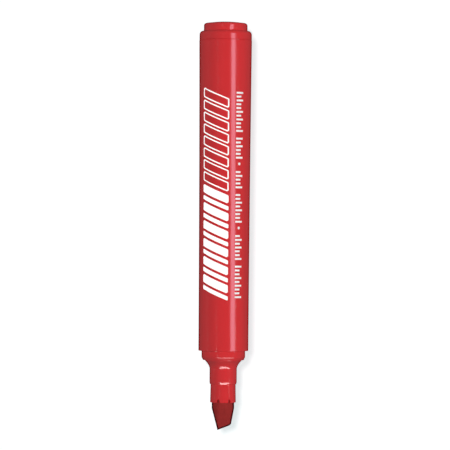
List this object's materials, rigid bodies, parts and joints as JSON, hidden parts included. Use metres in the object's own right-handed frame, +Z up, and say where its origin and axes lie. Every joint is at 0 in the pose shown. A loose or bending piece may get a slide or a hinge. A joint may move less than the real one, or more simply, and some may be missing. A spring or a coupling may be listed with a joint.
{
  "type": "felt tip marker",
  "caption": "Chisel-tip permanent marker without its cap: slim tapered round barrel, rounded end plug, cap collar, stepped neck and a slanted felt nib.",
  "frame": {"origin": "on the table under the middle of the marker as it lies on its side", "axes": "+Y along the marker from the nib to the tail, +Z up with the broad face of the nib upwards, +X to the right seen from above with the nib towards the viewer"},
  "size_m": [0.0176, 0.1359, 0.0175],
  "materials": {
    "red_plastic": "glossy moulded polypropylene",
    "inked_felt": "dense felt soaked with ink",
    "inked_fibre": "bundled fibre soaked with ink",
    "clear_film": "thin clear film",
    "white_plastic": "satin white, also the white print on the barrel"
  },
  "bodies": {
    "barrel": {"barrel": "red_plastic", "front_section": "red_plastic", "nib_holder": "red_plastic", "ink_reservoir": "inked_fibre", "reservoir_wrap": "clear_film", "breather_tube": "white_plastic"},
    "nib": {"nib": "inked_felt"},
    "end_plug": {"end_plug": "red_plastic"}
  },
  "joints": [
    {"name": "nib_pull", "type": "slide", "parent": "barrel", "child": "nib", "axis": [0, -1, 0], "range_m": [0, 0.032]},
    {"name": "plug_pull", "type": "slide", "parent": "barrel", "child": "end_plug", "axis": [0, 1, 0], "range_m": [0, 0.012]}
  ]
}
